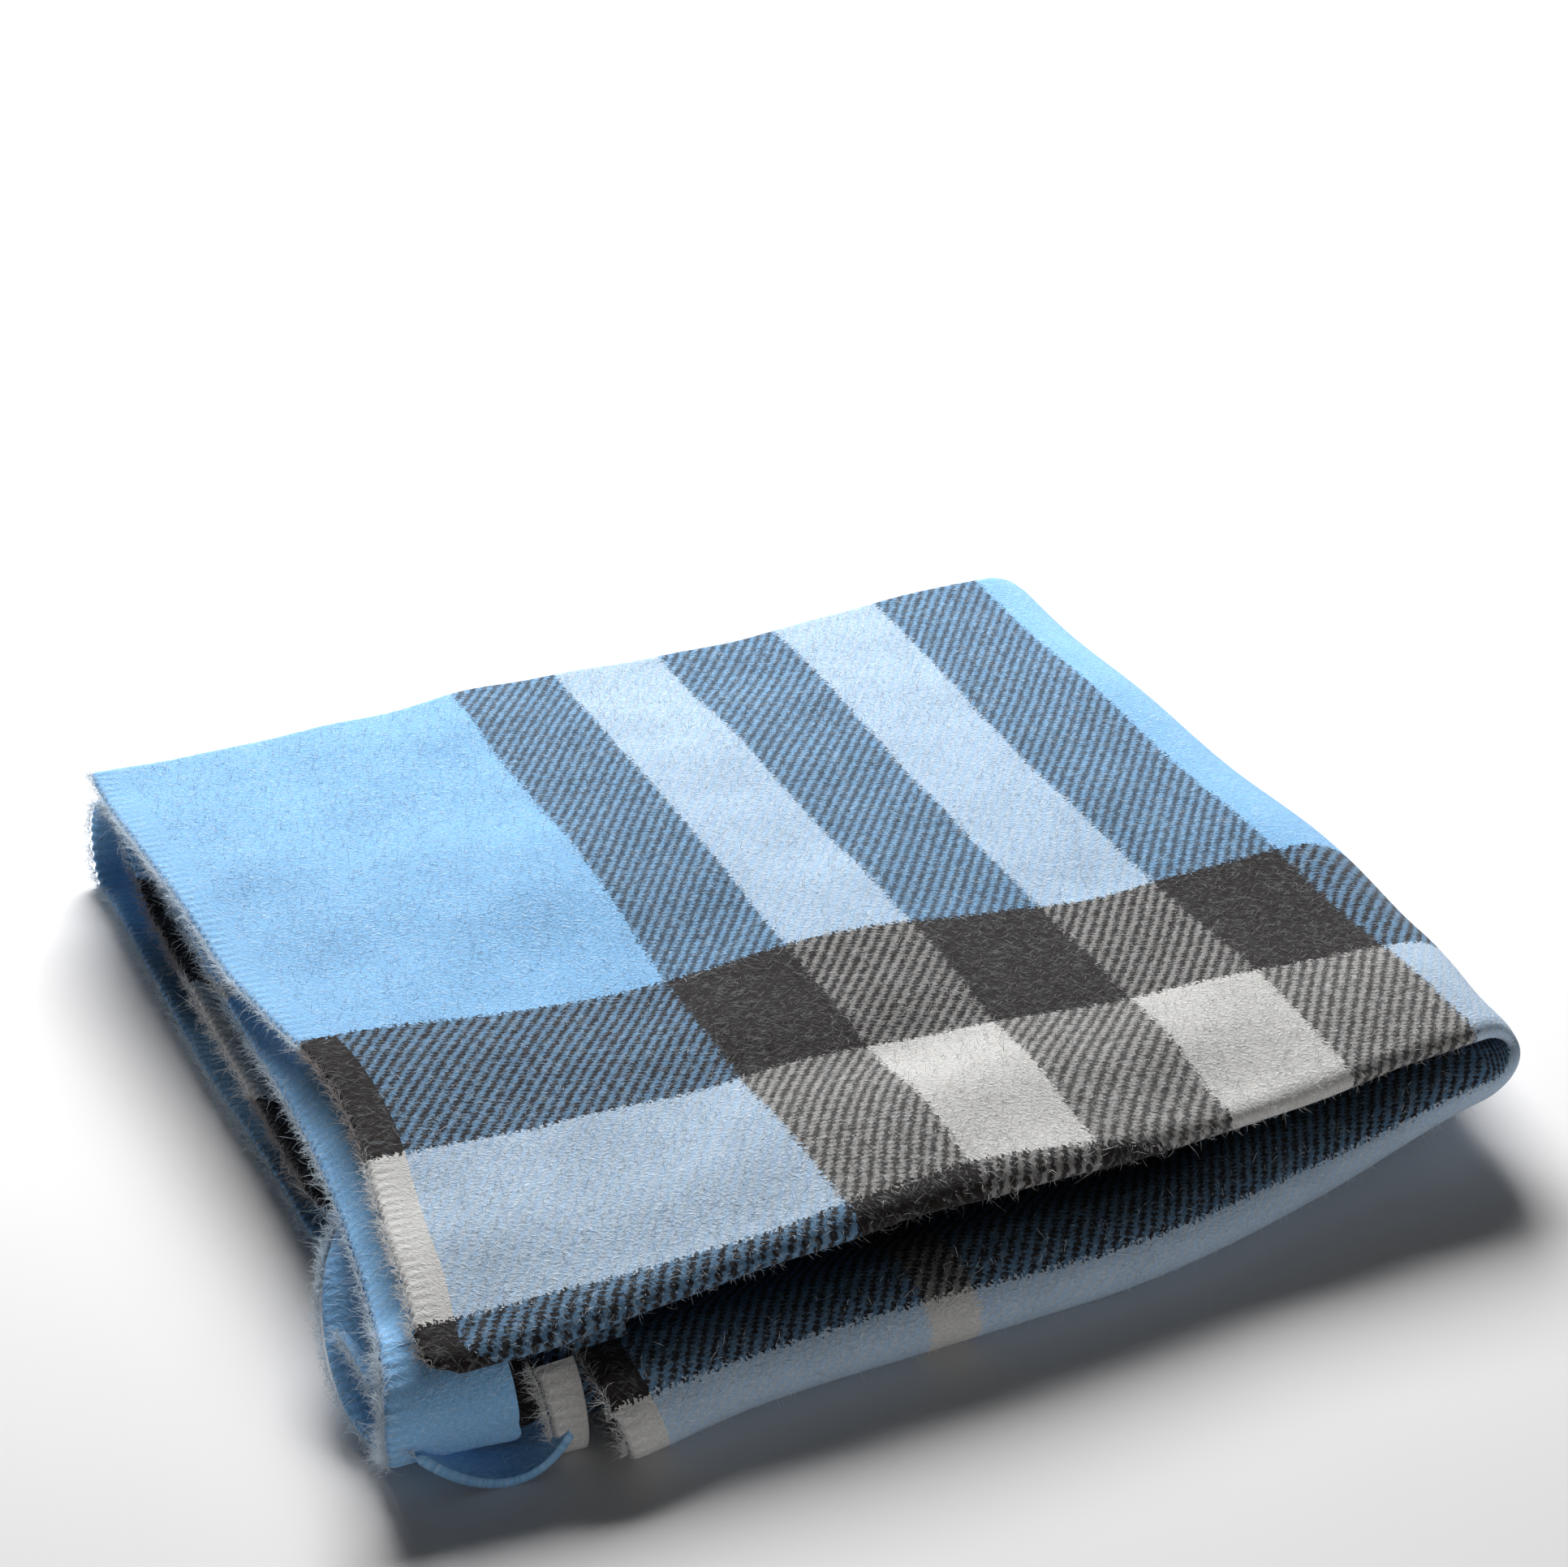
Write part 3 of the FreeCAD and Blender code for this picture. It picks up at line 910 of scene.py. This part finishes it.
BARE_COLUMNS = 4           # columns beside the side fold that carry no nap, to leave it room
FUZZ_LENGTH = 0.0031
FUZZ_CURL = 0.6
FUZZ_START = PLY / 2 * 0.8
FUZZ_COUNT = 9000          # on each long selvedge
FUZZ_COLUMNS = 2           # columns beside the edge that carry the fuzz


def band_colour(place, bands):
    """The number of the yarn, in the order of YARNS, at each place."""
    starts = np.array([start for start, _ in bands])
    kinds = np.array([list(YARNS.values()).index(colour) for _, colour in bands])
    return kinds[np.clip(np.searchsorted(starts, place, side="right") - 1, 0, len(kinds) - 1)]


def fibre_material(name, colour):
    n = Nodes(name)
    return n.finish((*colour, 1.0), {"Roughness": 0.8, "Sheen Weight": 0.2})


def unit(vectors):
    return vectors / np.maximum(np.linalg.norm(vectors, axis=-1, keepdims=True), 1e-9)


def fibre_mesh(name, roots, normals, sizes, curl, rng, material):
    """Thin curly hairs: narrow tubes that taper at both ends."""
    count = len(roots)
    direction = unit(normals + rng.normal(0, HAIR_SPREAD, (count, 3)))
    axis = unit(rng.normal(0, 1, (count, 3)))
    turn = rng.normal(0, curl, count)[:, None]
    line = [roots]
    for _ in range(HAIR_STEPS - 1):
        direction = unit(direction + np.cross(axis, direction) * turn)
        line.append(line[-1] + direction * (sizes / (HAIR_STEPS - 1))[:, None])
    line = np.stack(line, 1)
    line[..., 2] = np.maximum(line[..., 2], HAIR_FLOOR)
    tangent = unit(np.gradient(line, axis=1))
    side = unit(np.cross(tangent, np.array([0.31, 0.52, 0.80])))
    other = np.cross(tangent, side)
    taper = HAIR_RADIUS * np.array(HAIR_TAPER)[None, :, None]
    rings = []
    for k in range(HAIR_SIDES):
        angle = 2 * math.pi * k / HAIR_SIDES
        rings.append(line + (side * math.cos(angle) + other * math.sin(angle)) * taper)
    vertices = np.stack(rings, 2).reshape(-1, 3)
    hair = (np.arange(count) * HAIR_STEPS * HAIR_SIDES)[:, None, None]
    ring = hair + (np.arange(HAIR_STEPS - 1) * HAIR_SIDES)[None, :, None]
    a = np.arange(HAIR_SIDES)[None, None, :]
    b = (a + 1) % HAIR_SIDES
    corners = [ring + a, ring + b, ring + b + HAIR_SIDES, ring + a + HAIR_SIDES]
    piece = make_object(name, vertices, np.stack(corners, -1).reshape(-1, 4))
    piece.data.materials.append(material)
    return piece


def between(values, row, column, s, t):
    """Values of a grid inside its cells, s of the way along the rows and t across them."""
    a = values[row, column] * (1 - t) + values[row, column + 1] * t
    b = values[row + 1, column] * (1 - t) + values[row + 1, column + 1] * t
    return a * (1 - s) + b * s


def sample(points, weave, chance, count, rng):
    """Places on a grid of mid-ply points, picked with the given chance at each cell."""
    row_steps = np.diff(points, axis=0)[:, :-1]
    column_steps = np.diff(points, axis=1)[:-1]
    areas = np.linalg.norm(np.cross(row_steps, column_steps), axis=-1)
    weights = (chance[:-1, :-1] * areas).ravel()
    cell = rng.choice(len(weights), count, p=weights / weights.sum())
    row, column = np.divmod(cell, points.shape[1] - 1)
    s, t = rng.random((2, count))[..., None]
    return between(points, row, column, s, t), between(weave, row, column, s, t), (row, column)


def grow(prefix, body, sources, rng, materials, curl):
    """Fibres of each yarn colour on the listed surfaces, as one piece per colour."""
    gathered = {name: [] for name in YARNS}
    for points, weave, normals, chance, count, size, root in sources:
        roots, where, (row, column) = sample(points, weave, chance, count, rng)
        normal = normals[row, column]
        from_warp = (rng.random(count) < 0.5) & (where[:, 2] > SELVEDGE)
        kind = np.where(from_warp, band_colour(where[:, 0], WARP_BANDS),
                        band_colour(where[:, 1], WEFT_BANDS))
        length = rng.gamma(4.0, size / 4.0, count)
        start = roots + normal * root
        for k, hairs in enumerate(gathered.values()):
            pick = kind == k
            hairs.append((start[pick], normal[pick], length[pick]))
    for name, hairs in gathered.items():
        starts, normals, sizes = [np.concatenate(values) for values in zip(*hairs)]
        if len(starts):
            piece = fibre_mesh(f"{prefix}_{name}", starts, normals, sizes, curl, rng,
                               materials[name])
            ride(piece, body)


# ---- floor, lights and camera --------------------------------------------------------
def floor_material():
    n = Nodes("pale_table")
    place = n.add("ShaderNodeTexCoord").outputs["Object"]
    tone = n.ramp(n.noise(place, 6.0, 2.0), [(0.0, (0.86, 0.85, 0.85)), (1.0, (0.90, 0.89, 0.89))])
    return n.finish(tone, {"Roughness": 0.6, "Specular IOR Level": 0.2})


def stage():
    """A pale table that curves up far behind the throw."""
    front, depth, side, height, bend = -3.0, 2.6, 4.0, 3.0, 1.2
    profile = joined([
        straight((front, 0.0), (depth - bend, 0.0), 2),
        arc((depth - bend, bend), bend, -90, 0, 24),
        straight((depth, bend), (depth, height), 2),
    ])
    points = np.zeros((len(profile), 2, 3))
    points[..., 0] = (-side, side)
    points[..., 1] = profile[:, :1]
    points[..., 2] = profile[:, 1:]
    floor = make_object("table", points.reshape(-1, 3), grid_faces(len(profile), 2))
    floor.data.materials.append(floor_material())


def area_light(name, place, target, size, power):
    data = bpy.data.lights.new(name, "AREA")
    data.shape = "RECTANGLE"
    data.size, data.size_y = size
    data.energy = power
    light = bpy.data.objects.new(name, data)
    light.location = place
    light.rotation_euler = (Vector(target) - Vector(place)).to_track_quat("-Z", "Y").to_euler()
    bpy.context.scene.collection.objects.link(light)


def lights():
    """A soft key from behind and above, a low fill from the front and a faint white world."""
    area_light("key", (0.30, 1.00, 0.90), (0, 0, 0), (0.9, 0.6), 37)
    area_light("fill", (0.25, -1.3, 0.13), (0, 0, 0.02), (1.4, 0.22), 2.8)
    world = bpy.data.worlds.new("soft_white")
    world.use_nodes = True
    background = world.node_tree.nodes["Background"]
    background.inputs["Color"].default_value = (1.0, 0.995, 1.0, 1.0)
    background.inputs["Strength"].default_value = 0.025
    bpy.context.scene.world = world


def camera():
    aim = MIDDLE + Vector((-0.0147, -0.0413, 0.022))
    turn = math.radians(24.9)      # from +Y towards +X
    down = math.radians(33.9)
    distance = 0.975
    forward = Vector((math.sin(turn) * math.cos(down), math.cos(turn) * math.cos(down),
                      -math.sin(down)))
    data = bpy.data.cameras.new("camera")
    data.lens = 75.58
    data.sensor_width = 36
    data.shift_y = 0.123
    data.clip_start = 0.01
    data.clip_end = 20
    view = bpy.data.objects.new("camera", data)
    view.location = aim - forward * distance
    view.rotation_euler = (math.pi / 2 - down, 0, -turn)
    bpy.context.scene.collection.objects.link(view)
    bpy.context.scene.camera = view
    bpy.context.scene.view_settings.view_transform = "Standard"


# ---- the whole throw ----------------------------------------------------------------
def facing(half, grid):
    """Normals of a grid of mid-ply points on the side that is the outside of the throw."""
    normals = surface_normals(grid)
    middle = sum(STOPS["outer"]) // 2
    return normals if normals[middle, 2, 2] * UP[half.prefix] > 0 else -normals


def nap_source(half, main, zone):
    """Short hairs on one zone of the outer leaf and its two folds, clear of the side fold."""
    _, points, weave = main
    chance = np.zeros(points.shape[:2])
    first, last = STOPS["front"][0], STOPS["back"][1]
    start, end = NAP_ZONES[zone]
    chance[first + round((last - first) * start):first + round((last - first) * end)] = 1.0
    chance[:, -BARE_COLUMNS:] = 0.0
    count = NAP_COUNTS[half.prefix]
    return points, weave, facing(half, points), chance, count, NAP_LENGTH, NAP_START


def fuzz_source(strip, count):
    """Longer curly hairs that stand out from the left edge of a strip."""
    _, points, weave = strip
    chance = np.zeros(points.shape[:2])
    chance[:, :FUZZ_COLUMNS] = 1.0
    outwards = np.zeros_like(points)
    outwards[..., 0] = -0.75
    outwards[..., 2] = 0.65
    return points, weave, outwards, chance, count, FUZZ_LENGTH, FUZZ_START


def build():
    tartan = tartan_material()
    upper = Half("top", "upper_half", flap_drop=0.0, tucked_drop=-0.0015)
    lower = Half("bottom", "lower_half", flap_drop=0.0105, tucked_drop=0.0178)
    rng = np.random.default_rng(11)
    fibres = {name: fibre_material(name + "_fibre", colour)
              for name, colour in FIBRE_COLOURS.items()}
    made = {}
    for half in (upper, lower):
        main, strip = half.main_cloth(tartan), half.selvedge(tartan)
        made[half.prefix] = (main[0], strip[0])
        for zone in NAP_ZONES:
            source = nap_source(half, main, zone)
            grow(f"{half.prefix}_nap_{zone}", half.body, [source], rng, fibres, NAP_CURL)
        fuzz = fuzz_source(strip, FUZZ_COUNT)
        grow(half.prefix + "_fuzz", half.body, [fuzz], rng, fibres, FUZZ_CURL)
    side = side_fold(upper, lower, tartan)
    corner, low, dark, light = loose_pieces(tartan)
    grow("corner_fuzz", "upper_half", [fuzz_source(corner, 2200)], rng, fibres, FUZZ_CURL)
    rolls = [fuzz_source(low, 900), fuzz_source(dark, 700), fuzz_source(light, 700)]
    grow("roll_fuzz", "lower_half", rolls, rng, fibres, FUZZ_CURL)
    for prefix in ("top", "bottom"):
        main, strip = made[prefix]
        leaves = [f"{prefix}_{part}" for part in
                  ("leaf", "front_fold", "back_fold", "tucked_leaf", "flap_leaf")]
        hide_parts(*leaves)
        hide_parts(*[leaf + "_selvedge" for leaf in leaves])
        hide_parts(prefix + "_tucked_hem", prefix + "_flap_hem")
    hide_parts("side_fold_outer", "side_fold_middle", "side_fold_inner",
                "side_fold_front_corner", "side_fold_back_corner")
    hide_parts("loose_corner")


build()
stage()
lights()
camera()
